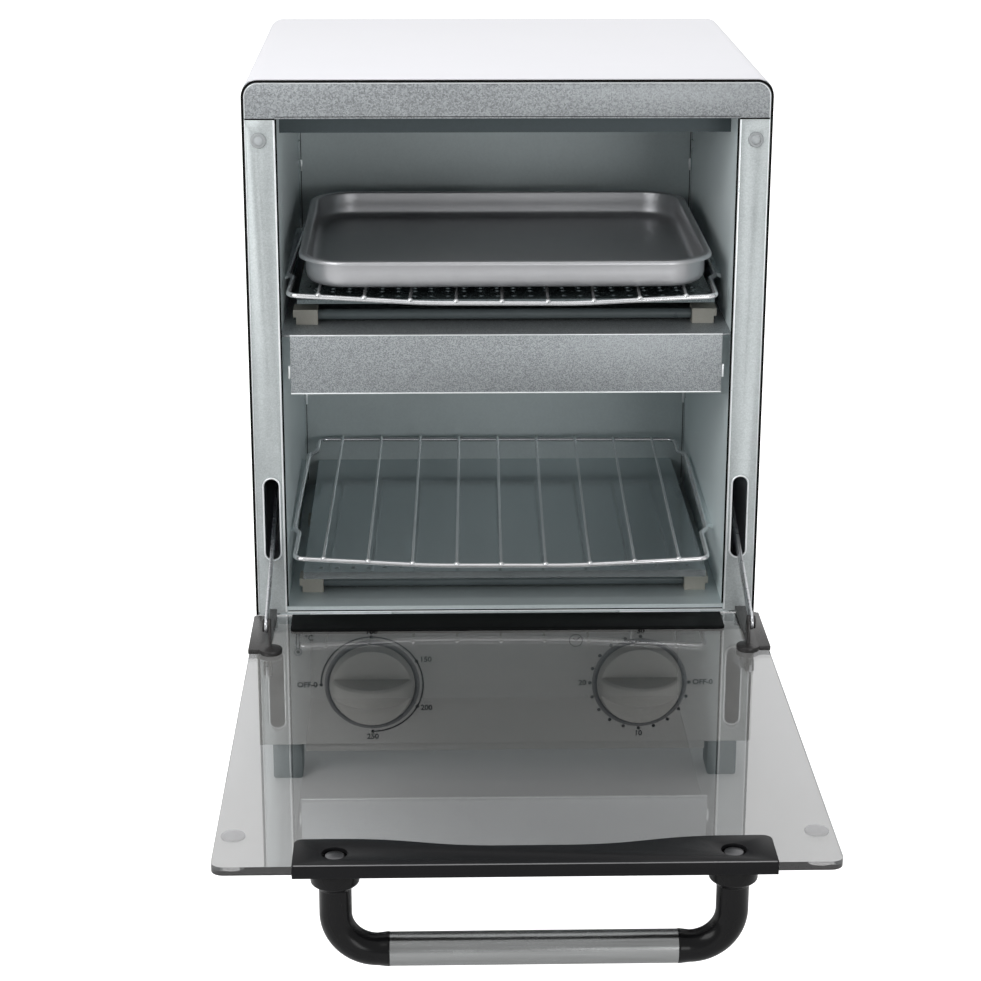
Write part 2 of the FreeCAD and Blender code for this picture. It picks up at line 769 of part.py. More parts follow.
def make_clamp():
    """Channel along the glass edge, its top drawn in with a smooth dip at the middle."""
    front = glass_front - clamp_front
    ends = glass_front + clamp_end_depth
    middle = glass_front + clamp_middle_depth
    shoulder = clamp_half - clamp_shoulder_inset
    ease = (shoulder - clamp_middle_half) * clamp_curve_share
    points = [at(clamp_middle_half, middle, glass_upper), at(clamp_middle_half + ease, middle, glass_upper)]
    points += [at(shoulder - ease, ends, glass_upper), at(shoulder, ends, glass_upper)]
    curve = Part.BezierCurve()
    curve.setPoles(points)
    dip = curve.toShape()
    turn = clamp_corner * (1 - math.sqrt(0.5))
    before = at(clamp_half - clamp_corner, ends, glass_upper)
    after = at(clamp_half, ends - clamp_corner, glass_upper)
    corner = Part.Arc(before, at(clamp_half - turn, ends - turn, glass_upper), after).toShape()
    edge = Part.makeLine(points[-1], before)
    end = Part.makeLine(after, at(clamp_half, front, glass_upper))
    half = [dip, edge, corner, end]
    bridges = [Part.makeLine(at(-x, y, glass_upper), at(x, y, glass_upper))
               for x, y in ((clamp_middle_half, middle), (clamp_half, front))]
    outline = Part.Wire(Part.__sortEdges__(half + [mirrored(piece, -1) for piece in half] + bridges))
    plate = Part.Face(outline).extrude(Z * clamp_top)
    wall = box((-clamp_half, clamp_half), (front, glass_front), (glass_lower - clamp_under, glass_upper))
    under = box((-clamp_half, clamp_half), (glass_front, glass_front + clamp_under_depth),
                (glass_lower - clamp_under, glass_lower))
    holes = []
    for x in (-screw_offset, screw_offset):
        holes.append(round_bar(at(x, screw_y, glass_upper), Z, screw_recess, clamp_top))
        holes.append(round_bar(at(x, screw_y, glass_lower - clamp_under), Z, screw_hole, clamp_under))
    return fused(plate, wall, under).cut(holes)


def make_screw():
    head = round_bar(at(screw_offset, screw_y, glass_upper), Z, screw_head_radius, screw_head_height)
    shank = round_bar(at(screw_offset, screw_y, glass_upper - screw_length), Z, screw_radius, screw_length)
    return fused(head, shank)


def make_elbow():
    """Right-hand handle post: a collar under the glass, a bend and a spigot inside the tube."""
    seat = glass_lower - clamp_under
    level = glass_lower - handle_reach
    corner = at(screw_offset, screw_y, level)
    route = [at(screw_offset, screw_y, seat), corner, at(sleeve_start, screw_y, level)]
    rod = bent_rod(route, [handle_bend], handle_rod)
    collar = round_bar(at(screw_offset, screw_y, seat - collar_height), Z, collar_radius, collar_height)
    taper = Part.makeCone(handle_rod, collar_radius, collar_taper,
                          at(screw_offset, screw_y, seat - collar_height - collar_taper), Z)
    sleeve = Part.makeCone(sleeve_radius, handle_rod, sleeve_inset - handle_bend, route[-1], X)
    spigot = round_bar(route[-1], X * -1, tube_radius - tube_wall - running_clearance, tube_seat)
    bore = round_bar(at(screw_offset, screw_y, glass_upper - screw_length), Z, screw_radius, screw_length)
    return fused(rod, collar, taper, sleeve, spigot).cut(bore)


def make_tube():
    start = at(-sleeve_start, screw_y, glass_lower - handle_reach)
    tube = round_bar(start, X, tube_radius, 2 * sleeve_start)
    return tube.cut(round_bar(start, X, tube_radius - tube_wall, 2 * sleeve_start))


def shifted(shape):
    """Handle pieces stand a little to the right of the glass's centre."""
    moved = shape.copy()
    moved.translate(X * handle_offset)
    return moved


os.makedirs("parts", exist_ok=True)
placed("outer_cover", make_outer_cover())
placed("back_panel", make_back_panel())
placed("base_plate", make_base_plate())
placed("lintel", make_lintel())
placed("ceiling_panel", make_ceiling())
placed("oven_back", make_oven_back())
placed("oven_floor", make_oven_floor())
placed("sill_plate", make_sill_plate())
placed("mid_deck", make_mid_deck())
placed("lower_guard", make_guard(oven_floor, lower_guard_lip, lower_row_places))
placed("upper_guard", make_guard(deck_top, upper_guard_lip, upper_row_places))
for name, base in (("lower", oven_floor), ("upper", deck_top)):
    placed(name + "_front_heater", make_heater(base, front_block_depth))
    placed(name + "_rear_heater", make_heater(base, rear_block_depth))
placed("control_panel", make_panel())
placed("thermostat", make_control(-knob_offset))
placed("timer", make_control(knob_offset))
placed("terminal_block", make_terminal())
placed("cord_gland", make_gland())
foot_rows = (("front", -foot_forward), ("rear", cabinet_depth - foot_back - foot_length))
for side, sign in sides:
    for end, y in foot_rows:
        placed(side + "_" + end + "_foot", mirrored(make_foot(y), sign))
    placed(side + "_column", mirrored(make_column(), sign))
    placed(side + "_bumper", mirrored(make_bumper(), sign))
    placed(side + "_wall", mirrored(make_wall(), sign))
    for level, base in (("lower", oven_floor), ("upper", deck_top)):
        placed(side + "_" + level + "_front_block", mirrored(make_block(base, front_block_depth), sign))
        placed(side + "_" + level + "_rear_block", mirrored(make_block(base, rear_block_depth), sign))
    placed(side + "_hinge_ear", mirrored(make_fixed_ear(), sign))
    placed(side + "_bracket", mirrored(make_bracket(), sign))
    placed(side + "_arm", mirrored(make_arm(), sign))
    placed(side + "_pad", mirrored(make_pad(), sign))
    placed(side + "_handle_screw", shifted(mirrored(make_screw(), sign)))
    placed(side + "_elbow", shifted(mirrored(make_elbow(), sign)))
placed("door_glass", make_glass())
placed("hinge_strip", make_strip())
placed("handle_clamp", shifted(make_clamp()))
placed("handle_tube", shifted(make_tube()))
placed("temperature_knob", make_knob(-knob_offset, -1))
placed("timer_knob", make_knob(knob_offset, 1))
placed("lower_rack", make_rack(lower_rack_height, lower_rack_askew, lower_rack_drift, lower_rack_tilt))
placed("upper_rack", make_rack(upper_rack_height, upper_rack_askew, upper_rack_drift, upper_rack_tilt))
placed("tray", make_tray())
print("door hinge at y", hinge_y + place.y, "z", hinge_z)
print("arm rivets at y", -rivet_forward + place.y, "z", rivet_z)
print("front frame's face at y", place.y)
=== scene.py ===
import bpy
import json
import math
from mathutils import Euler, Matrix, Vector


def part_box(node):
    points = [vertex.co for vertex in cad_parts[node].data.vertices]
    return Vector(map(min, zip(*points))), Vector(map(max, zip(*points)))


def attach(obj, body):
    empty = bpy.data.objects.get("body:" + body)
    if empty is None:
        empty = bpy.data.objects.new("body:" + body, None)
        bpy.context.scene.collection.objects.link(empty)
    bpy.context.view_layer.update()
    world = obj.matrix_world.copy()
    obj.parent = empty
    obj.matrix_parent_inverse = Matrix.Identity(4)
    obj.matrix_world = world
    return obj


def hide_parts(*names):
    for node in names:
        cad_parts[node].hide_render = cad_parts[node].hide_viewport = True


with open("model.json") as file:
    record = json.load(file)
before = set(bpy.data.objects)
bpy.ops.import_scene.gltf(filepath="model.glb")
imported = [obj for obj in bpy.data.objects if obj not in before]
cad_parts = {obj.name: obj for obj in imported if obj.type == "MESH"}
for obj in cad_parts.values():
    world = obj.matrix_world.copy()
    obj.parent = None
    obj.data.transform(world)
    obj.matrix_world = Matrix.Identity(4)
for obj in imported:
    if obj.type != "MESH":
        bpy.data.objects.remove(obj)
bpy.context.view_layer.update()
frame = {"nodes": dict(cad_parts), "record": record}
mm = 0.001
print("frame loaded:", len(frame["nodes"]), "nodes")


# Small helpers for shader trees
def addNode(tree, kind, **settings):
    node = tree.nodes.new(kind)
    for name, value in settings.items():
        setattr(node, name, value)
    return node


def setInputs(node, values):
    for name, value in values.items():
        node.inputs[name].default_value = value


def mixValue(tree, kind, first, second):
    node = addNode(tree, "ShaderNodeMath", operation=kind)
    for socket, source in zip(node.inputs, (first, second)):
        if isinstance(source, (int, float)):
            socket.default_value = source
        else:
            tree.links.new(source, socket)
    return node.outputs[0]


def newGroup(name, inputs, outputs):
    group = bpy.data.node_groups.new(name, "ShaderNodeTree")
    for label, value in inputs.items():
        socket = group.interface.new_socket(name=label, in_out="INPUT", socket_type="NodeSocketFloat")
        socket.default_value = value
    for label in outputs:
        group.interface.new_socket(name=label, in_out="OUTPUT", socket_type="NodeSocketFloat")
    start = addNode(group, "NodeGroupInput")
    end = addNode(group, "NodeGroupOutput")
    place = addNode(group, "ShaderNodeTexCoord")
    return group, start, end, place


# Zinc crystals: cells of slightly different tone with a fine sparkle over them
crystals = {"inputs": {"Cell Scale": 900.0, "Spark Scale": 2600.0},
            "spark": {"Detail": 2.0, "Roughness": 0.7}, "cellShare": 0.55, "sparkShare": 0.45}


def makeSpangle():
    group, start, end, place = newGroup("zincSpangle", crystals["inputs"], ["Tone", "Height"])
    cells = addNode(group, "ShaderNodeTexVoronoi", feature="F1")
    spark = addNode(group, "ShaderNodeTexNoise")
    setInputs(spark, crystals["spark"])
    group.links.new(place.outputs["Object"], cells.inputs["Vector"])
    group.links.new(place.outputs["Object"], spark.inputs["Vector"])
    group.links.new(start.outputs["Cell Scale"], cells.inputs["Scale"])
    group.links.new(start.outputs["Spark Scale"], spark.inputs["Scale"])
    cellTone = addNode(group, "ShaderNodeSeparateColor")
    group.links.new(cells.outputs["Color"], cellTone.inputs[0])
    coarse = mixValue(group, "MULTIPLY", cellTone.outputs[0], crystals["cellShare"])
    fine = mixValue(group, "MULTIPLY", spark.outputs["Fac"], crystals["sparkShare"])
    group.links.new(mixValue(group, "ADD", coarse, fine), end.inputs["Tone"])
    group.links.new(spark.outputs["Fac"], end.inputs["Height"])
    return group


# Slow change of tone over a sheet, as from rolling and handling
clouds = {"inputs": {"Patch Scale": 18.0, "Fine Scale": 90.0},
          "patches": {"Detail": 3.0, "Roughness": 0.6}, "patchShare": 0.7,
          "fine": {"Detail": 4.0, "Roughness": 0.6}, "fineShare": 0.3}


def makeMottle():
    group, start, end, place = newGroup("slowMottle", clouds["inputs"], ["Tone", "Height"])
    patches = addNode(group, "ShaderNodeTexNoise")
    fine = addNode(group, "ShaderNodeTexNoise")
    setInputs(patches, clouds["patches"])
    setInputs(fine, clouds["fine"])
    for noise, scale in ((patches, "Patch Scale"), (fine, "Fine Scale")):
        group.links.new(place.outputs["Object"], noise.inputs["Vector"])
        group.links.new(start.outputs[scale], noise.inputs["Scale"])
    slow = mixValue(group, "MULTIPLY", patches.outputs["Fac"], clouds["patchShare"])
    quick = mixValue(group, "MULTIPLY", fine.outputs["Fac"], clouds["fineShare"])
    group.links.new(mixValue(group, "ADD", slow, quick), end.inputs["Tone"])
    group.links.new(fine.outputs["Fac"], end.inputs["Height"])
    return group


# Fine pebble of powder coat and moulded plastic
grain = {"inputs": {"Pebble Scale": 1400.0}, "noise": {"Detail": 2.5, "Roughness": 0.55}}


def makePebble():
    group, start, end, place = newGroup("finePebble", grain["inputs"], ["Tone", "Height"])
    pebbles = addNode(group, "ShaderNodeTexNoise")
    setInputs(pebbles, grain["noise"])
    group.links.new(place.outputs["Object"], pebbles.inputs["Vector"])
    group.links.new(start.outputs["Pebble Scale"], pebbles.inputs["Scale"])
    group.links.new(pebbles.outputs["Fac"], end.inputs["Tone"])
    group.links.new(pebbles.outputs["Fac"], end.inputs["Height"])
    return group


# Drawn or rolled lines: noise that is stretched along X
rolled = {"inputs": {"Line Scale": 500.0, "Along X": 0.03, "Along Y": 1.0, "Along Z": 1.0},
          "noise": {"Detail": 3.0, "Roughness": 0.6}}


def makeDrawLines():
    group, start, end, place = newGroup("drawLines", rolled["inputs"], ["Tone", "Height"])
    stretch = addNode(group, "ShaderNodeVectorMath", operation="MULTIPLY")
    ratios = addNode(group, "ShaderNodeCombineXYZ")
    for axis in "XYZ":
        group.links.new(start.outputs["Along " + axis], ratios.inputs[axis])
    lines = addNode(group, "ShaderNodeTexNoise")
    setInputs(lines, rolled["noise"])
    group.links.new(place.outputs["Object"], stretch.inputs[0])
    group.links.new(ratios.outputs[0], stretch.inputs[1])
    group.links.new(stretch.outputs[0], lines.inputs["Vector"])
    group.links.new(start.outputs["Line Scale"], lines.inputs["Scale"])
    group.links.new(lines.outputs["Fac"], end.inputs["Tone"])
    group.links.new(lines.outputs["Fac"], end.inputs["Height"])
    return group


spangle = makeSpangle()
mottle = makeMottle()
pebble = makePebble()
drawLines = makeDrawLines()


# One finish: plain socket values, then groups that vary its colour, roughness and bump
toneSpan = {"low": 0.3, "high": 0.7, "bumpDistance": 0.0001}


def makeFinish(name, plain, light, dark, rough, layers, bump=0.0):
    material = bpy.data.materials.new(name)
    material.use_nodes = True
    tree = material.node_tree
    shader = tree.nodes["Principled BSDF"]
    setInputs(shader, plain)
    tone = None
    for group, weight, values in layers:
        layer = addNode(tree, "ShaderNodeGroup", node_tree=group)
        setInputs(layer, values)
        part = mixValue(tree, "MULTIPLY", layer.outputs["Tone"], weight)
        tone = part if tone is None else mixValue(tree, "ADD", tone, part)
    ramp = addNode(tree, "ShaderNodeValToRGB")
    ends = ((toneSpan["low"], dark), (toneSpan["high"], light))
    for element, (position, colour) in zip(ramp.color_ramp.elements, ends):
        element.position = position
        element.color = colour + (1.0,)
    tree.links.new(tone, ramp.inputs[0])
    tree.links.new(ramp.outputs[0], shader.inputs["Base Color"])
    spread = addNode(tree, "ShaderNodeMapRange")
    setInputs(spread, {"From Min": toneSpan["low"], "From Max": toneSpan["high"],
                       "To Min": rough[0], "To Max": rough[1]})
    tree.links.new(tone, spread.inputs["Value"])
    tree.links.new(spread.outputs[0], shader.inputs["Roughness"])
    if bump:
        relief = addNode(tree, "ShaderNodeBump")
        setInputs(relief, {"Strength": bump, "Distance": toneSpan["bumpDistance"]})
        tree.links.new(layer.outputs["Height"], relief.inputs["Height"])
        tree.links.new(relief.outputs[0], shader.inputs["Normal"])
    return material


# Each finish: plain values, light tone, dark tone, roughness range, layers and their weights, bump
finishTable = {
    "whiteCoat": ({"Specular IOR Level": 0.3}, (0.80, 0.80, 0.835), (0.775, 0.775, 0.81), (0.42, 0.50),
                  [(mottle, 0.6, {}), (pebble, 0.4, {})], 0.05),
    "panelCoat": ({"Specular IOR Level": 0.4}, (0.48, 0.48, 0.467), (0.455, 0.455, 0.445), (0.40, 0.48),
                  [(mottle, 0.6, {}), (pebble, 0.4, {})], 0.05),
    "frontZinc": ({"Metallic": 0.5}, (0.40, 0.425, 0.44), (0.20, 0.212, 0.22), (0.34, 0.55),
                  [(spangle, 0.8, {"Cell Scale": 1500.0, "Spark Scale": 1900.0}), (mottle, 0.2, {})], 0.25),
    "deckZinc": ({"Metallic": 0.55}, (0.44, 0.47, 0.485), (0.20, 0.215, 0.225), (0.36, 0.55),
                 [(spangle, 0.85, {"Cell Scale": 2600.0, "Spark Scale": 3200.0}), (mottle, 0.15, {})], 0.25),
    "ovenZinc": ({"Metallic": 0.35}, (0.52, 0.585, 0.595), (0.455, 0.515, 0.525), (0.32, 0.44),
                 [(spangle, 0.3, {}), (mottle, 0.7, {})], 0.08),
    "guardZinc": ({"Metallic": 0.8}, (0.50, 0.55, 0.565), (0.43, 0.48, 0.495), (0.13, 0.22),
                  [(spangle, 0.3, {}), (mottle, 0.7, {})], 0.05),
    "shadedZinc": ({"Metallic": 0.5}, (0.12, 0.148, 0.155), (0.09, 0.113, 0.118), (0.22, 0.34),
                   [(spangle, 0.3, {}), (mottle, 0.7, {})], 0.05),
    # Walls painted far paler than the same zinc of the back and floor: painted light standing in for light
    # that barely reaches them
    "paintedLightWallZinc": ({"Metallic": 0.05}, (0.88, 0.97, 0.98), (0.82, 0.92, 0.935), (0.30, 0.42),
                 [(spangle, 0.3, {}), (mottle, 0.7, {})], 0.08),
    # Ceiling panel painted near black: painted shade under the lintel
    "paintedShadowCeilingZinc": ({"Metallic": 0.3}, (0.055, 0.074, 0.081), (0.043, 0.059, 0.065), (0.40, 0.50),
                    [(spangle, 0.3, {}), (mottle, 0.7, {})], 0.06),
    "columnZinc": ({"Metallic": 0.45}, (0.53, 0.57, 0.575), (0.37, 0.40, 0.405), (0.36, 0.48),
                   [(spangle, 0.4, {"Cell Scale": 1800.0}), (mottle, 0.6, {})], 0.06),
    # Near-white bars on edges, hems, rims and tabs: painted highlights on real edges
    "paintedHighlightZinc": ({"Metallic": 0.5}, (0.92, 0.95, 0.96), (0.78, 0.82, 0.83), (0.25, 0.40),
                    [(mottle, 1.0, {"Patch Scale": 70.0, "Fine Scale": 320.0})], 0.08),
    "zincSteel": ({"Metallic": 0.9}, (0.66, 0.67, 0.69), (0.58, 0.59, 0.61), (0.22, 0.36),
                  [(drawLines, 0.6, {}), (mottle, 0.4, {})], 0.05),
    "chromeWire": ({"Metallic": 0.75}, (0.86, 0.87, 0.885), (0.74, 0.75, 0.765), (0.10, 0.22),
                   [(mottle, 1.0, {"Patch Scale": 60.0})], 0.03),
    "handleChrome": ({"Metallic": 1.0}, (0.37, 0.38, 0.38), (0.30, 0.305, 0.305), (0.20, 0.30),
                     [(drawLines, 0.6, {"Line Scale": 900.0}), (mottle, 0.4, {})], 0.04),
    "trayMetal": ({"Metallic": 0.8}, (0.52, 0.525, 0.54), (0.44, 0.445, 0.46), (0.34, 0.42),
                  [(mottle, 1.0, {"Patch Scale": 12.0})], 0.0),
    "blackPlastic": ({"Specular IOR Level": 0.12}, (0.010, 0.010, 0.011), (0.006, 0.006, 0.007), (0.34, 0.46),
                     [(pebble, 0.7, {}), (mottle, 0.3, {})], 0.08),
    "footPlastic": ({"Specular IOR Level": 0.2}, (0.20, 0.225, 0.23), (0.165, 0.187, 0.19), (0.5, 0.6),
                    [(mottle, 1.0, {})]),
    "screwHead": ({"Metallic": 0.9}, (0.13, 0.13, 0.135), (0.10, 0.10, 0.105), (0.25, 0.35),
                  [(mottle, 1.0, {})]),
    "gripPlastic": ({"Specular IOR Level": 0.18}, (0.007, 0.007, 0.0075), (0.004, 0.004, 0.0045),
                    (0.16, 0.26), [(mottle, 1.0, {})], 0.03),
    "stripGloss": ({"Specular IOR Level": 0.03}, (0.006, 0.0065, 0.0065), (0.004, 0.0045, 0.0045),
                   (0.35, 0.45), [(mottle, 1.0, {})], 0.02),
    # Near black for the front seam, and for painted shadow lines in gaps and corner seams
    "seamAndShadowBlack": ({"Specular IOR Level": 0.1}, (0.004, 0.004, 0.004), (0.002, 0.002, 0.002), (0.6, 0.8),
                    [(mottle, 1.0, {})]),
    "blackPaint": ({"Specular IOR Level": 0.4}, (0.030, 0.028, 0.028), (0.018, 0.017, 0.017), (0.24, 0.36),
                   [(pebble, 0.6, {}), (mottle, 0.4, {})], 0.06),
    "creamPlastic": ({"Specular IOR Level": 0.4}, (0.50, 0.495, 0.47), (0.475, 0.467, 0.447), (0.26, 0.34),
                     [(mottle, 0.7, {}), (pebble, 0.3, {})], 0.03),
    "creamCeramic": ({"Specular IOR Level": 0.4}, (0.42, 0.41, 0.37), (0.36, 0.35, 0.31), (0.55, 0.75),
                     [(pebble, 0.5, {}), (mottle, 0.5, {})], 0.25),
    # Dark plastic of the switches and terminal block, also used as painted shadow in the seat under each knob
    "darkPlasticAndShadow": ({}, (0.05, 0.05, 0.055), (0.035, 0.035, 0.04), (0.45, 0.6), [(pebble, 1.0, {})], 0.10),
    "heaterTube": ({"Specular IOR Level": 0.3}, (0.14, 0.165, 0.172), (0.10, 0.122, 0.128), (0.25, 0.40),
                   [(mottle, 1.0, {})], 0.05),
    "dialInk": ({"Specular IOR Level": 0.05}, (0.006, 0.006, 0.007), (0.004, 0.004, 0.005), (0.45, 0.6),
                [(mottle, 1.0, {})]),
    "clearStop": ({"Transmission Weight": 0.55, "IOR": 1.42}, (0.80, 0.84, 0.86), (0.74, 0.78, 0.80),
                  (0.22, 0.32), [(mottle, 1.0, {})]),
    # Grey for the painted shadow ring round each knob and the painted highlight line on the clamp
    "shadowAndHighlightGrey": ({"Specular IOR Level": 0.5}, (0.20, 0.20, 0.205), (0.15, 0.15, 0.155), (0.2, 0.3),
                 [(mottle, 1.0, {})]),
    "clearPad": ({"Alpha": 0.30}, (0.60, 0.60, 0.615), (0.55, 0.55, 0.565), (0.25, 0.35),
                 [(mottle, 1.0, {})]),
    "mirrorGlass": ({"Transmission Weight": 1.0, "IOR": 1.82}, (0.61, 0.613, 0.615), (0.60, 0.603, 0.605),
                    (0.0, 0.003), [(mottle, 1.0, {})]),
}
finishes = {name: makeFinish(name, *values) for name, values in finishTable.items()}
print("finishes made:", len(finishes))

wearers = {
    "whiteCoat": ["outer_cover", "back_panel"],
    "panelCoat": ["control_panel"],
    "frontZinc": ["lintel"],
    "deckZinc": ["mid_deck"],
    "ovenZinc": ["oven_back", "oven_floor", "base_plate"],
    "guardZinc": ["lower_guard", "sill_plate"],
    "shadedZinc": ["upper_guard"],
    "paintedLightWallZinc": ["left_wall", "right_wall"],
    "paintedShadowCeilingZinc": ["ceiling_panel"],
    "columnZinc": ["left_column", "right_column"],
    "zincSteel": ["left_arm", "right_arm", "left_hinge_ear", "right_hinge_ear"],
    "screwHead": ["left_handle_screw", "right_handle_screw"],
    "chromeWire": ["upper_rack", "lower_rack"],
    "handleChrome": ["handle_tube"],
    "trayMetal": ["tray"],
    "blackPlastic": ["handle_clamp", "cord_gland"],
    "footPlastic": ["left_front_foot", "right_front_foot", "left_rear_foot", "right_rear_foot"],
    "gripPlastic": ["left_elbow", "right_elbow"],
    "stripGloss": ["hinge_strip"],
    "blackPaint": ["left_bracket", "right_bracket"],
    "creamPlastic": ["temperature_knob", "timer_knob"],
    "creamCeramic": [side + level + end for side in ("left_", "right_") for level in ("lower_", "upper_")
                     for end in ("front_block", "rear_block")],
    "darkPlasticAndShadow": ["thermostat", "timer", "terminal_block"],
    "heaterTube": ["lower_front_heater", "lower_rear_heater", "upper_front_heater", "upper_rear_heater"],
    "clearStop": ["left_bumper", "right_bumper"],
    "clearPad": ["left_pad", "right_pad"],
    "mirrorGlass": ["door_glass"],
}
for finish, nodeNames in wearers.items():
    for nodeName in nodeNames:
        mesh = frame["nodes"][nodeName].data
        mesh.materials.clear()
        mesh.materials.append(finishes[finish])
dressed = sum(len(names) for names in wearers.values())
print("CAD nodes dressed:", dressed, "of", len(frame["nodes"]))


# Modelling helpers
shaping = {"barSegments": 2, "barSmooth": 50, "turnedSmooth": 35, "wireSmooth": 50, "wireMerge": 0.01 * mm}
upright = (math.radians(90), 0, 0)


def deselectAll():
    if bpy.context.object and bpy.context.object.mode != "OBJECT":
        bpy.ops.object.mode_set(mode="OBJECT")
    bpy.ops.object.select_all(action="DESELECT")


def selectOnly(piece):
    deselectAll()
    piece.select_set(True)
    bpy.context.view_layer.objects.active = piece


def settle(piece):
    selectOnly(piece)
    bpy.ops.object.transform_apply(location=True, rotation=True, scale=True)
    return piece


def smooth(piece, degrees):
    selectOnly(piece)
    bpy.ops.object.shade_smooth_by_angle(angle=math.radians(degrees))
    return piece


def finishPiece(piece, name, finish, body):
    piece.name = name
    piece.data.materials.clear()
    piece.data.materials.append(finishes[finish])
    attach(piece, body)
    return piece


def joinPieces(pieces):
    deselectAll()
    for piece in pieces:
        piece.select_set(True)
    bpy.context.view_layer.objects.active = pieces[0]
    bpy.ops.object.join()
    return bpy.context.object


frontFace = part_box("lintel")[0][1]
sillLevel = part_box("left_column")[0][2]


# Millimetres from the middle, the front frame's face and the oven's sill
def spot(x, y, z):
    return Vector((x * mm, frontFace + y * mm, sillLevel + z * mm))


# Straight bar with its edges rounded over
def addBar(low, high, edge):
    deselectAll()
    low, high = spot(*low), spot(*high)
    bpy.ops.mesh.primitive_cube_add(size=1.0, location=(low + high) / 2, scale=high - low)
    bar = settle(bpy.context.object)
    bpy.ops.object.mode_set(mode="EDIT")
    bpy.ops.mesh.select_all(action="SELECT")
    bpy.ops.mesh.bevel(offset=edge * mm, segments=shaping["barSegments"], affect="EDGES")
    bpy.ops.object.mode_set(mode="OBJECT")
    return smooth(bar, shaping["barSmooth"])


# Round piece drawn out of a circle, ring by ring: each ring is its radius and its height
def addTurned(centre, facing, rings, sides):
    deselectAll()
    turn = upright if facing == "front" else (0, 0, 0)
    axis = Vector((0, -1, 0)) if facing == "front" else Vector((0, 0, 1))
    bpy.ops.mesh.primitive_circle_add(vertices=sides, radius=rings[0][0] * mm, fill_type="NGON",
                                      location=centre + axis * (rings[0][1] * mm), rotation=turn)
    piece = settle(bpy.context.object)
    bpy.ops.object.mode_set(mode="EDIT")
    bpy.ops.mesh.select_all(action="SELECT")
    for (before, start), (radius, height) in zip(rings, rings[1:]):
        bpy.ops.mesh.extrude_region_move(TRANSFORM_OT_translate={"value": axis * ((height - start) * mm)})
        bpy.ops.transform.resize(value=(radius / before,) * 3, center_override=centre + axis * (height * mm))
    bpy.ops.mesh.select_all(action="SELECT")
    bpy.ops.mesh.normals_make_consistent(inside=False)
    bpy.ops.object.mode_set(mode="OBJECT")
    return smooth(piece, shaping["turnedSmooth"])


# Wire drawn along straight runs, spun round at each bend
def addWire(points, bends, radius, sides, steps, ends="NOTHING"):
    deselectAll()
    runs = [(after - before).normalized() for before, after in zip(points, points[1:])]
    bpy.ops.mesh.primitive_circle_add(vertices=sides, radius=radius * mm, fill_type=ends, location=points[0],
                                      rotation=runs[0].to_track_quat("Z", "Y").to_euler())
    wire = settle(bpy.context.object)
    bpy.ops.object.mode_set(mode="EDIT")
    bpy.ops.mesh.select_all(action="SELECT")
    here = points[0]
    for index, run in enumerate(runs):
        stop = points[index + 1]
        turn = 0.0
        if index < len(bends) and bends[index]:
            turn = run.angle(runs[index + 1])
            setback = bends[index] * mm * math.tan(turn / 2)
            stop = stop - run * setback
        bpy.ops.mesh.extrude_region_move(TRANSFORM_OT_translate={"value": stop - here})
        here = stop
        if turn:
            axis = run.cross(runs[index + 1]).normalized()
            middle = stop + axis.cross(run) * bends[index] * mm
            bpy.ops.mesh.spin(steps=steps, angle=-turn, center=middle, axis=axis)
            here = points[index + 1] + runs[index + 1] * setback
    bpy.ops.mesh.select_all(action="SELECT")
    bpy.ops.mesh.remove_doubles(threshold=shaping["wireMerge"])
    bpy.ops.mesh.normals_make_consistent(inside=False)
    bpy.ops.object.mode_set(mode="OBJECT")
    return smooth(wire, shaping["wireSmooth"])


# Copy of a CAD piece with its sharp edges broken, so that they catch the light
brokenEdge = {"merge": 0.002 * mm, "flat": 0.5, "segments": 2, "sharp": 40, "smooth": 35}


def softCopy(nodeName, name, finish, edge):
    node = frame["nodes"][nodeName]
    piece = node.copy()
    piece.data = node.data.copy()
    bpy.context.collection.objects.link(piece)
    piece.parent = None
    piece.matrix_world = node.matrix_world
    settle(piece)
    bpy.ops.object.mode_set(mode="EDIT")
    bpy.ops.mesh.select_all(action="SELECT")
    bpy.ops.mesh.remove_doubles(threshold=brokenEdge["merge"])
    bpy.ops.mesh.dissolve_limited(angle_limit=math.radians(brokenEdge["flat"]))
    bpy.ops.mesh.select_all(action="SELECT")
    bpy.ops.mesh.normals_make_consistent(inside=False)
    bpy.ops.object.mode_set(mode="OBJECT")
    bevel = piece.modifiers.new("brokenEdges", "BEVEL")
    bevel.width = edge * mm
    bevel.segments = brokenEdge["segments"]
    bevel.limit_method = "ANGLE"
    bevel.angle_limit = math.radians(brokenEdge["sharp"])
    bpy.ops.object.modifier_apply(modifier=bevel.name)
    smooth(piece, brokenEdge["smooth"])
    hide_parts(nodeName)
    return finishPiece(piece, name, finish, bodyOf[nodeName])


bodies = frame["record"]["behaviour"]["bodies"]
bodyOf = {nodeName: body for body, names in bodies.items() for nodeName in names}

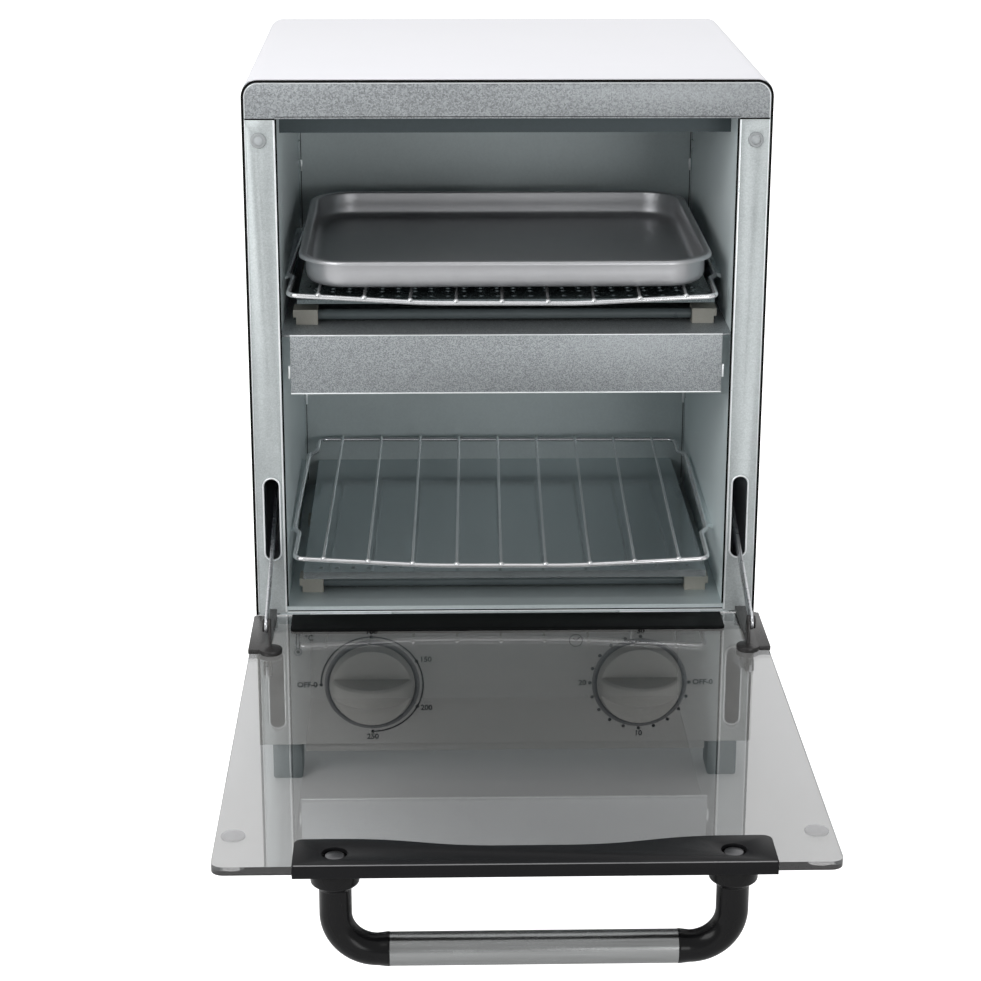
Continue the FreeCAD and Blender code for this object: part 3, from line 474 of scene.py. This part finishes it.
# Chromed racks: one bent frame wire, cross wires over it and a weld at each crossing
rack = {"frameWire": 1.3, "crossWire": 0.85, "sink": 0.65, "front": 2.0, "sag": 4.0, "flatHalf": 40.0,
        "narrow": 111.8, "wide": 115.1, "rear": 110.6, "frontJog": 42.0, "rearJog": 180.0, "jogRun": 7.0,
        "back": 211.0, "bend": 5.0, "jogBend": 4.0, "sagBend": 400.0, "bendSteps": 5, "sides": 14,
        "crossings": 9, "firstCrossing": 96.0, "crossSides": 10, "overhang": 0.7, "merge": 0.01 * mm,
        "weldSides": 12, "weldBack": 0.3, "weldLift": 0.4,
        "weld": ((0.5, -0.3), (1.3, 0.0), (1.65, 0.6), (1.5, 1.2), (0.9, 1.75), (0.3, 1.95))}
rackRows = {
    "lower_rack": {"name": "lowerRackWires", "body": "lower_shelf", "level": 33.2,
                   "askew": 1.0, "drift": 0.6, "tilt": 0.8},
    "upper_rack": {"name": "upperRackWires", "body": "upper_shelf", "level": 176.0,
                   "askew": 1.4, "drift": 0.0, "tilt": 0.0},
}


# Turn about a place, as one matrix
def turnAbout(place, degrees, axis):
    rotation = Matrix.Rotation(math.radians(degrees), 4, axis)
    return Matrix.Translation(place) @ rotation @ Matrix.Translation(-place)


def makeRack(row):
    level = row["level"]
    sagged = level - rack["sag"]
    frontTurn = rack["frontJog"] + rack["jogRun"]
    rearTurn = rack["rearJog"] + rack["jogRun"]
    route = [(0, rack["front"], sagged), (rack["flatHalf"], rack["front"], sagged),
             (rack["narrow"], rack["front"], level), (rack["narrow"], rack["frontJog"], level),
             (rack["wide"], frontTurn, level), (rack["wide"], rack["rearJog"], level),
             (rack["rear"], rearTurn, level), (rack["rear"], rack["back"], level), (0, rack["back"], level)]
    bends = [rack["sagBend"], rack["bend"]] + [rack["jogBend"]] * 4 + [rack["bend"]]
    places = [spot(*place) for place in route]
    half = addWire(places, bends, rack["frameWire"], rack["sides"], rack["bendSteps"])
    mirror = half.modifiers.new("otherHalf", "MIRROR")
    mirror.merge_threshold = rack["merge"]
    bpy.ops.object.modifier_apply(modifier=mirror.name)
    pieces = [half]
    pitch = 2 * rack["firstCrossing"] / (rack["crossings"] - 1)
    lift = rack["frameWire"] + rack["crossWire"] - rack["sink"]
    for index in range(rack["crossings"]):
        x = index * pitch - rack["firstCrossing"]
        slope = max(0.0, abs(x) - rack["flatHalf"]) / (rack["narrow"] - rack["flatHalf"])
        low = sagged + rack["sag"] * slope
        ends = [spot(x, rack["front"] - rack["overhang"], low + lift),
                spot(x, rack["back"] + rack["frameWire"], level + lift)]
        pieces.append(addWire(ends, [], rack["crossWire"], rack["crossSides"], 1, "NGON"))
        foot = spot(x, rack["front"] - rack["weldBack"], low + rack["weldLift"])
        pieces.append(addTurned(foot, "up", rack["weld"], rack["weldSides"]))
    whole = joinPieces(pieces)
    turned = turnAbout(spot(0, (rack["front"] + rack["back"]) / 2, level), -row["askew"], "Z")
    tipped = turnAbout(spot(0, rack["back"], level), row["tilt"], "X")
    whole.matrix_world = Matrix.Translation((-row["drift"] * mm, 0, 0)) @ tipped @ turned
    return settle(whole)


for rackNode, row in rackRows.items():
    wires = makeRack(row)
    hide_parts(rackNode)
    finishPiece(wires, row["name"], "chromeWire", row["body"])
print("racks bent and welded")

# Drawn tray: each step goes in and then up, from the bead over the rim and down to the floor
trayShape = {"half": 109.3, "front": 2.0, "back": 190.5, "top": 194.15, "start": 2.0, "corner": 26.5,
             "cornerSteps": 12, "sheet": 0.9, "smooth": 40,
             "bead": ((0.02, 1.0), (0.3, 0.55), (0.6, 0.35), (0.7, 0.1)),
             "rim": ((2.2, -0.05), (0.35, -0.25), (0.25, -0.6)),
             "wall": ((0.12, -6.0), (0.12, -3.9), (0.45, -1.5), (1.0, -1.2), (1.5, -0.7), (2.2, -0.25))}


def makeTray():
    deselectAll()
    shape = trayShape
    level = shape["top"] - shape["start"]
    low, high = spot(-shape["half"], shape["front"], level), spot(shape["half"], shape["back"], level)
    bpy.ops.mesh.primitive_plane_add(size=1.0, location=(low + high) / 2)
    tray = bpy.context.object
    tray.scale = (high.x - low.x, high.y - low.y, 1)
    settle(tray)
    bpy.ops.object.mode_set(mode="EDIT")
    bpy.ops.mesh.select_all(action="SELECT")
    bpy.ops.mesh.bevel(offset=shape["corner"] * mm, segments=shape["cornerSteps"], affect="VERTICES")
    bpy.ops.mesh.select_all(action="SELECT")
    for thickness, depth in shape["bead"] + shape["rim"] + shape["wall"]:
        bpy.ops.mesh.inset(thickness=thickness * mm, depth=depth * mm, use_even_offset=True)
    bpy.ops.object.mode_set(mode="OBJECT")
    sheet = tray.modifiers.new("sheet", "SOLIDIFY")
    sheet.thickness = shape["sheet"] * mm
    sheet.offset = -1.0
    bpy.ops.object.modifier_apply(modifier=sheet.name)
    return smooth(tray, shape["smooth"])


tray = makeTray()
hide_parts("tray")
finishPiece(tray, "drawnTray", "trayMetal", "tray_pan")
print("tray drawn")

# Sheet and moulded pieces whose edges are broken
softEdges = {
    "columnZinc": (("left_column", "leftColumn", 0.3), ("right_column", "rightColumn", 0.3)),
    "frontZinc": (("lintel", "frontLintel", 0.3),),
    "deckZinc": (("mid_deck", "middleDeck", 0.25),),
    "whiteCoat": (("outer_cover", "whiteCover", 0.35),),
    "panelCoat": (("control_panel", "dialPanel", 0.5),),
    "blackPlastic": (("handle_clamp", "glassClamp", 0.6),),
    "footPlastic": (("left_front_foot", "leftFrontFoot", 0.5), ("right_front_foot", "rightFrontFoot", 0.5),
                    ("left_rear_foot", "leftRearFoot", 0.5), ("right_rear_foot", "rightRearFoot", 0.5)),
    "gripPlastic": (("left_elbow", "leftElbow", 0.4), ("right_elbow", "rightElbow", 0.4)),
    "stripGloss": (("hinge_strip", "hingeShield", 0.3),),
    "blackPaint": (("left_bracket", "leftBracket", 0.35), ("right_bracket", "rightBracket", 0.35)),
    "creamPlastic": (("temperature_knob", "temperatureKnob", 0.5), ("timer_knob", "timerKnob", 0.5)),
    "zincSteel": (("left_arm", "leftArm", 0.25), ("right_arm", "rightArm", 0.25),
                  ("left_hinge_ear", "leftHingeEar", 0.3), ("right_hinge_ear", "rightHingeEar", 0.3)),
    "screwHead": (("left_handle_screw", "leftHandleScrew", 0.35),
                  ("right_handle_screw", "rightHandleScrew", 0.35)),
}
for finish, copies in softEdges.items():
    for nodeName, pieceName, edge in copies:
        softCopy(nodeName, pieceName, finish, edge)
print("edges broken on", sum(len(copies) for copies in softEdges.values()), "pieces")

# Front frame: black seam round the cover; a hem round the cover and a rim round each slot, painted bright as
# highlights
frontTrim = {"halfWidth": 135.0, "coverTop": 289.0, "corner": 8.0, "sides": 8, "cornerSteps": 10,
             "sideInset": 0.3, "topInset": 1.1, "seamWidth": 0.62, "seamLow": -5.0,
             "hemInset": 1.05, "hemWidth": 0.3, "hemDepth": 0.05, "hemLow": 269.2,
             "slotX": 125.2, "slotHalf": 4.4, "slotLow": 31.0, "slotHigh": 77.3, "slotDepth": -0.5,
             "slotBead": 0.5, "slotBend": 4.378, "slotSides": 10, "slotSteps": 8}


def makeArch(inset, depth, low, width):
    side = frontTrim["halfWidth"] - frontTrim["sideInset"] - inset
    top = frontTrim["coverTop"] - frontTrim["topInset"] - inset
    route = [spot(-side, depth, low), spot(-side, depth, top), spot(side, depth, top), spot(side, depth, low)]
    corner = frontTrim["corner"] - inset
    return addWire(route, [corner, corner], width, frontTrim["sides"], frontTrim["cornerSteps"], "NGON")


def makeSlotRim(side):
    x = side * frontTrim["slotX"]
    near, far = x - frontTrim["slotHalf"], x + frontTrim["slotHalf"]
    low, high = frontTrim["slotLow"], frontTrim["slotHigh"]
    middle = (low + high) / 2
    corners = ((near, middle), (near, high), (far, high), (far, low), (near, low), (near, middle))
    route = [spot(across, frontTrim["slotDepth"], level) for across, level in corners]
    bends = [frontTrim["slotBend"]] * 4
    return addWire(route, bends, frontTrim["slotBead"], frontTrim["slotSides"], frontTrim["slotSteps"])


seam = makeArch(0.0, 0.0, frontTrim["seamLow"], frontTrim["seamWidth"])
finishPiece(seam, "frontSeam", "seamAndShadowBlack", "cabinet")
rims = [makeArch(frontTrim["hemInset"], frontTrim["hemDepth"], frontTrim["hemLow"], frontTrim["hemWidth"]),
        makeSlotRim(-1), makeSlotRim(1)]

# Thin straight bars of each trim piece, in pairs mirrored about the middle or in one run across it:
# distances from the middle (a run has its half width), depths behind the front face, heights, edge
barSets = {
    # Edges of the columns, as bars painted bright as highlights
    "brightFrontEdges": {"finish": "paintedHighlightZinc", "slot": "galvanised", "runs": (),
                         "pairs": (((118.5, 119.4), (-0.35, 1.2), (1.0, 268.2), 0.12),
                                   ((133.4, 133.9), (-0.25, 0.6), (1.0, 268.2), 0.1))},
    # Shadow lines beside the columns and under the lintel
    "frontGaps": {"finish": "seamAndShadowBlack", "slot": "dark_control",
                  "runs": ((118.5, (-0.15, 0.5), (269.7, 270.0), 0.08),),
                  "pairs": (((117.75, 118.45), (1.2, 3.0), (1.0, 268.2), 0.1),
                            ((118.5, 133.65), (-0.2, 0.9), (268.35, 269.05), 0.1))},
    # Hems of the deck's flange and the floor, and the tabs beside them, painted bright as highlights
    "insideHems": {"finish": "paintedHighlightZinc", "slot": "galvanised",
                   "runs": ((113.8, (3.7, 4.9), (122.55, 123.25), 0.15),
                            (113.8, (3.7, 4.9), (154.1, 154.7), 0.15),
                            (118.0, (-0.3, 0.7), (0.6, 1.2), 0.15),
                            (118.0, (0.4, 1.2), (1.9, 2.5), 0.15)),
                   "pairs": (((113.9, 114.9), (3.8, 4.9), (131.0, 138.0), 0.2),
                             ((62.0, 106.0), (-2.3, 0.4), (-0.7, 0.35), 0.2))},
    # Gap in the floor's hem, and the seams where the walls meet the back, as black bars of painted shade
    "insideSeams": {"finish": "seamAndShadowBlack", "slot": "dark_control",
                    "runs": ((118.0, (-0.15, 0.9), (1.25, 1.85), 0.08),),
                    "pairs": (((116.95, 117.3), (215.45, 215.8), (6.0, 120.0), 0.05),
                              ((116.95, 117.3), (215.45, 215.8), (157.0, 254.0), 0.05))},
    # Locating tabs in those seams, painted bright as highlights
    "wallTabs": {"finish": "paintedHighlightZinc", "slot": "galvanised", "runs": (),
                 "pairs": (((116.3, 117.5), (214.2, 215.8), (201.4, 208.6), 0.25),
                           ((116.3, 117.5), (214.2, 215.8), (55.4, 62.6), 0.25))},
    # Lip under the dial panel
    "plinthLip": {"finish": "panelCoat", "slot": "white_enamel",
                  "runs": ((110.0, (-5.2, -4.2), (-82.4, -77.2), 0.3),), "pairs": ()},
}
for name, values in barSets.items():
    pieces = rims if name == "brightFrontEdges" else []
    for half, depth, height, edge in values["runs"]:
        pieces.append(addBar((-half, depth[0], height[0]), (half, depth[1], height[1]), edge))
    for side in (-1, 1):
        for across, depth, height, edge in values["pairs"]:
            x = sorted(side * place for place in across)
            pieces.append(addBar((x[0], depth[0], height[0]), (x[1], depth[1], height[1]), edge))
    finishPiece(joinPieces(pieces), name, values["finish"], "cabinet")
print("front trim, hems, seams and tabs laid")

# Dark seat and grey ring behind each knob: painted shadow round the knob's base
knobShadow = {"rings": ((23.4, 0.0), (24.5, 0.0), (24.4, 0.3), (24.0, 0.45), (12.0, 0.45)),
        "shadowHalo": ((24.4, 0.0), (25.9, 0.0), (25.7, 0.12), (24.4, 0.2)), "sides": 96}
for knobNode, shadowSeatName, shadowHaloName in (("temperature_knob", "temperatureShadowSeat", "temperatureShadowHalo"),
                                     ("timer_knob", "timerShadowSeat", "timerShadowHalo")):
    low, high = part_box(knobNode)
    centre = Vector(((low[0] + high[0]) / 2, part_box("control_panel")[0][1], (low[2] + high[2]) / 2))
    for part, name, finish in (("rings", shadowSeatName, "darkPlasticAndShadow"), ("shadowHalo", shadowHaloName, "shadowAndHighlightGrey")):
        piece = addTurned(centre, "front", knobShadow[part], knobShadow["sides"])
        finishPiece(piece, name, finish, "cabinet")

# Thin light line between the clamp and the glass: a painted highlight on the clamp's edge
clamp = {"half": 102.0, "under": 0.28, "depth": 0.5, "proud": 0.08, "edge": 0.1}
clampLow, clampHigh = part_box("handle_clamp")
clampFront = (clampLow[1] - frontFace) / mm
clampTop = (clampHigh[2] - sillLevel) / mm
clampMiddle = (clampLow[0] + clampHigh[0]) / 2 / mm
clampHighlight = addBar((clampMiddle - clamp["half"], clampFront - clamp["proud"], clampTop - clamp["under"]),
                   (clampMiddle + clamp["half"], clampFront + clamp["depth"], clampTop + clamp["proud"]),
                   clamp["edge"])
finishPiece(clampHighlight, "clampHighlight", "shadowAndHighlightGrey", "door")
print("knob seats and clamp line laid")

# Soft stops on the columns and on the glass
softStop = {"bumper": ((3.9, 0.0), (3.95, 0.5), (3.75, 0.95), (3.3, 1.15), (2.75, 1.0), (2.55, 1.05),
                       (2.35, 1.5), (1.9, 1.85), (1.0, 1.95), (0.3, 1.97)),
            "pad": ((5.4, 0.0), (5.4, 0.35), (5.1, 0.7), (4.5, 0.8), (3.7, 0.62), (3.1, 0.6), (2.5, 0.74),
                    (1.2, 0.8), (0.3, 0.8)),
            "sides": 48}
for sideName in ("left", "right"):
    low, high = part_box(sideName + "_bumper")
    centre = Vector(((low[0] + high[0]) / 2, frontFace, (low[2] + high[2]) / 2))
    piece = addTurned(centre, "front", softStop["bumper"], softStop["sides"])
    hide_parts(sideName + "_bumper")
    finishPiece(piece, sideName + "Bumper", "clearStop", "cabinet")
    low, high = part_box(sideName + "_pad")
    centre = Vector(((low[0] + high[0]) / 2, (low[1] + high[1]) / 2, low[2]))
    piece = addTurned(centre, "up", softStop["pad"], softStop["sides"])
    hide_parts(sideName + "_pad")
    finishPiece(piece, sideName + "Pad", "clearPad", "door")
print("soft stops turned")

# Printed scales of the two dials, as thin ink on the panel's face
dial = {"ink": 0.04 * mm, "dotRadius": 0.98 * mm, "dotSides": 20, "line": 0.80 * mm, "ringSteps": 160,
        "textSize": 4.3 * mm, "textWeight": 0.030, "textCurve": 4, "textGap": 2.0 * mm, "textShare": 0.25,
        "temperatureRadius": 27.7 * mm, "timerRadius": 27.0 * mm, "arc": (1, 268),
        "timerTurns": (180, 451, 18), "nineOClock": 270}
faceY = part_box("control_panel")[0][1]
knobs = {}
for name in ("temperature_knob", "timer_knob"):
    low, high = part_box(name)
    knobs[name] = ((low[0] + high[0]) / 2, (low[2] + high[2]) / 2)


def inkText(words, x, z, align):
    bpy.ops.object.text_add(location=(x, faceY, z), rotation=upright)
    text = bpy.context.object
    text.data.body = words
    text.data.size = dial["textSize"]
    text.data.align_x = align
    text.data.align_y = "CENTER"
    text.data.extrude = dial["ink"]
    text.data.offset = dial["textSize"] * dial["textWeight"]
    text.data.resolution_u = dial["textCurve"]
    bpy.ops.object.convert(target="MESH")
    return settle(bpy.context.object)


def inkDot(x, z, radius):
    bpy.ops.mesh.primitive_cylinder_add(vertices=dial["dotSides"], radius=radius, depth=2 * dial["ink"],
                                        location=(x, faceY, z), rotation=upright)
    return settle(bpy.context.object)


def inkBar(x, z, length, width, turn):
    bpy.ops.mesh.primitive_cube_add(size=1.0, location=(x, faceY, z), rotation=(0, turn, 0),
                                    scale=(width, 2 * dial["ink"], length))
    return settle(bpy.context.object)


# Flat ring on the panel's face: with an arc, only what lies between its two turns is kept
def inkRing(x, z, radius, width, arc=None):
    deselectAll()
    inner, outer = radius - width / 2, radius + width / 2
    bpy.ops.mesh.primitive_circle_add(vertices=dial["ringSteps"], radius=inner, fill_type="NOTHING",
                                      location=(x, faceY - dial["ink"], z), rotation=upright)
    ring = bpy.context.object
    bpy.ops.object.mode_set(mode="EDIT")
    bpy.ops.mesh.select_all(action="SELECT")
    bpy.ops.mesh.extrude_edges_move()
    bpy.ops.transform.resize(value=(outer / inner,) * 3)
    bpy.ops.object.mode_set(mode="OBJECT")
    settle(ring)
    if arc is None:
        return ring
    for face in ring.data.polygons:
        bearing = math.degrees(math.atan2(face.center.x - x, face.center.z - z))
        face.select = not (arc[0] <= (bearing - dial["nineOClock"]) % 360 <= arc[1])
    for edge in ring.data.edges:
        edge.select = False
    bpy.ops.object.mode_set(mode="EDIT")
    bpy.ops.mesh.select_mode(type="FACE")
    bpy.ops.mesh.delete(type="FACE")
    bpy.ops.object.mode_set(mode="OBJECT")
    return ring


# Place on a dial, its turn measured clockwise from nine o'clock
def dialPoint(x, z, radius, turn):
    angle = math.radians(turn)
    return x - radius * math.cos(angle), z + radius * math.sin(angle)


# Dot of a scale, with its number outside it where there is one
def inkMark(x, z, radius, turn, words, align):
    marks = [inkDot(*dialPoint(x, z, radius, turn), dial["dotRadius"])]
    if words:
        textX, textZ = dialPoint(x, z, radius + dial["textGap"], turn)
        if align == "CENTER":
            textZ += math.copysign(dial["textSize"] * dial["textShare"], textZ - z)
        marks.append(inkText(words, textX, textZ, align))
    return marks


def makeTemperatureScale():
    x, z = knobs["temperature_knob"]
    radius = dial["temperatureRadius"]
    pieces = [inkRing(x, z, radius, dial["line"], dial["arc"])]
    marks = (("OFF-0", 0, "RIGHT"), ("100", 90, "CENTER"), ("150", 151, "LEFT"), ("200", 208, "LEFT"),
             ("250", 270, "CENTER"))
    for words, turn, align in marks:
        pieces += inkMark(x, z, radius, turn, words, align)
    return joinPieces(pieces)


def makeTimerScale():
    x, z = knobs["timer_knob"]
    marks = {180: ("OFF-0", "LEFT"), 270: ("10", "CENTER"), 360: ("20", "RIGHT"), 450: ("30", "CENTER")}
    pieces = []
    for turn in range(*dial["timerTurns"]):
        words, align = marks.get(turn, ("", "CENTER"))
        pieces += inkMark(x, z, dial["timerRadius"], turn, words, align)
    return joinPieces(pieces)


# Small signs beside the dials: a thermometer, a degree sign and a clock with two hands
signs = {"bulb": (-112.6, -21.5), "bulbRadius": 1.9, "bulbDot": 0.95, "stem": 9.0, "stemHalf": 0.75,
         "stemSink": 0.2, "line": 0.4, "degrees": (-106.5, -13.5), "clock": (37.8, -15.9), "clockRadius": 3.5,
         "hands": ((-1.4, 1.3), (2.2, 1.9))}


def makeSigns():
    line = signs["line"] * mm
    bulb, degrees, clock = (spot(signs[name][0], 0, signs[name][1]) for name in ("bulb", "degrees", "clock"))
    stemMiddle = bulb.z + (signs["stem"] / 2 + signs["bulbRadius"] - signs["stemSink"]) * mm
    pieces = [inkRing(bulb.x, bulb.z, signs["bulbRadius"] * mm, line),
              inkDot(bulb.x, bulb.z, signs["bulbDot"] * mm)]
    for side in (-1, 1):
        stemX = bulb.x + side * signs["stemHalf"] * mm
        pieces.append(inkBar(stemX, stemMiddle, signs["stem"] * mm, line, 0.0))
    pieces.append(inkText("\u00b0C", degrees.x, degrees.z, "CENTER"))
    pieces.append(inkRing(clock.x, clock.z, signs["clockRadius"] * mm, line))
    for across, up in signs["hands"]:
        length = math.hypot(across, up) * mm
        turn = math.atan2(across, up)
        pieces.append(inkBar(clock.x + across / 2 * mm, clock.z + up / 2 * mm, length, line, turn))
    return joinPieces(pieces)


finishPiece(makeSigns(), "dialSigns", "dialInk", "cabinet")
finishPiece(makeTemperatureScale(), "temperatureScale", "dialInk", "cabinet")
finishPiece(makeTimerScale(), "timerScale", "dialInk", "cabinet")
print("dial scales printed")

# Floor that glows white to the camera and far less to the oven
white = (1.0, 1.0, 1.0, 1.0)
ground = {"size": 14.0, "tone": (0.74, 0.74, 0.74, 1.0), "roughness": 0.9, "gloss": 0.1, "seenGlow": 1.0,
          "otherGlow": 0.12}
bpy.ops.mesh.primitive_plane_add(size=ground["size"], location=(0, 0, 0))
floor = bpy.context.object
floor.name = "paleFloor"
floorPaint = bpy.data.materials.new("floorPaint")
floorPaint.use_nodes = True
floorTree = floorPaint.node_tree
floorShader = floorTree.nodes["Principled BSDF"]
setInputs(floorShader, {"Base Color": ground["tone"], "Roughness": ground["roughness"],
                        "Specular IOR Level": ground["gloss"], "Emission Color": white})
floorSeen = addNode(floorTree, "ShaderNodeLightPath")
floorGlow = addNode(floorTree, "ShaderNodeMapRange")
setInputs(floorGlow, {"To Min": ground["otherGlow"], "To Max": ground["seenGlow"]})
floorTree.links.new(floorSeen.outputs["Is Camera Ray"], floorGlow.inputs["Value"])
floorTree.links.new(floorGlow.outputs[0], floorShader.inputs["Emission Strength"])
floor.data.materials.append(floorPaint)

# Room that is brighter above and behind the oven, and white to the camera
room = {"low": 0.55, "high": 0.72, "riseFrom": -0.05, "riseTo": 0.75,
        "backdrop": 1.5, "behindFrom": 0.45, "behindTo": 0.75}
world = bpy.data.worlds.new("softRoom")
bpy.context.scene.world = world
world.use_nodes = True
sky = world.node_tree
plainSky = sky.nodes["Background"]
setInputs(plainSky, {"Color": white, "Strength": 1.0})
roomSky = addNode(sky, "ShaderNodeBackground")
bearing = addNode(sky, "ShaderNodeTexCoord")
parts = addNode(sky, "ShaderNodeSeparateXYZ")
rise = addNode(sky, "ShaderNodeMapRange")
behind = addNode(sky, "ShaderNodeMapRange")
setInputs(rise, {"From Min": room["riseFrom"], "From Max": room["riseTo"],
                 "To Min": room["low"], "To Max": room["high"]})
setInputs(behind, {"From Min": room["behindFrom"], "From Max": room["behindTo"],
                   "To Min": 0.0, "To Max": room["backdrop"] - room["high"]})
sky.links.new(bearing.outputs["Generated"], parts.inputs[0])
sky.links.new(parts.outputs["Z"], rise.inputs["Value"])
sky.links.new(parts.outputs["Y"], behind.inputs["Value"])
sky.links.new(mixValue(sky, "ADD", rise.outputs[0], behind.outputs[0]), roomSky.inputs["Strength"])
seen = addNode(sky, "ShaderNodeLightPath")
pick = addNode(sky, "ShaderNodeMixShader")
sky.links.new(seen.outputs["Is Camera Ray"], pick.inputs[0])
sky.links.new(roomSky.outputs[0], pick.inputs[1])
sky.links.new(plainSky.outputs[0], pick.inputs[2])
sky.links.new(pick.outputs[0], sky.nodes["World Output"].inputs["Surface"])

softLights = {
    "topBox": {"place": (0.0, 0.1, 1.7), "aim": (0, 0, 0.2), "size": (1.6, 1.6), "power": 8.0},
    "keyBox": {"place": (-0.75, -0.85, 0.85), "aim": (-0.05, 0.1, 0.25), "size": (0.6, 0.8), "power": 6.5},
    "fillBox": {"place": (0.70, -1.9, 0.34), "aim": (0.0, 0.1, 0.2), "size": (0.8, 0.5), "power": 5.5},
}
for name, values in softLights.items():
    bpy.ops.object.light_add(type="AREA", location=values["place"])
    light = bpy.context.object
    light.name = name
    light.data.shape = "RECTANGLE"
    light.data.size, light.data.size_y = values["size"]
    light.data.energy = values["power"]
    toAim = Vector(values["aim"]) - Vector(values["place"])
    light.rotation_euler = toAim.to_track_quat("-Z", "Y").to_euler()

view = {"place": (-0.0400, -1.1804, 0.5721), "fov": 23.15, "pitch": 18.37, "yaw": 1.49, "roll": 0.13}
bpy.ops.object.camera_add(location=view["place"])
camera = bpy.context.object
camera.name = "photoCamera"
camera.data.angle = math.radians(view["fov"])
heading = Euler((math.radians(90 - view["pitch"]), 0, math.radians(-view["yaw"])), "XYZ").to_matrix()
camera.rotation_euler = (heading @ Matrix.Rotation(math.radians(view["roll"]), 3, "Z")).to_euler()
bpy.context.scene.camera = camera
bpy.context.scene.view_settings.view_transform = "Standard"
print("stage, lights and camera placed")
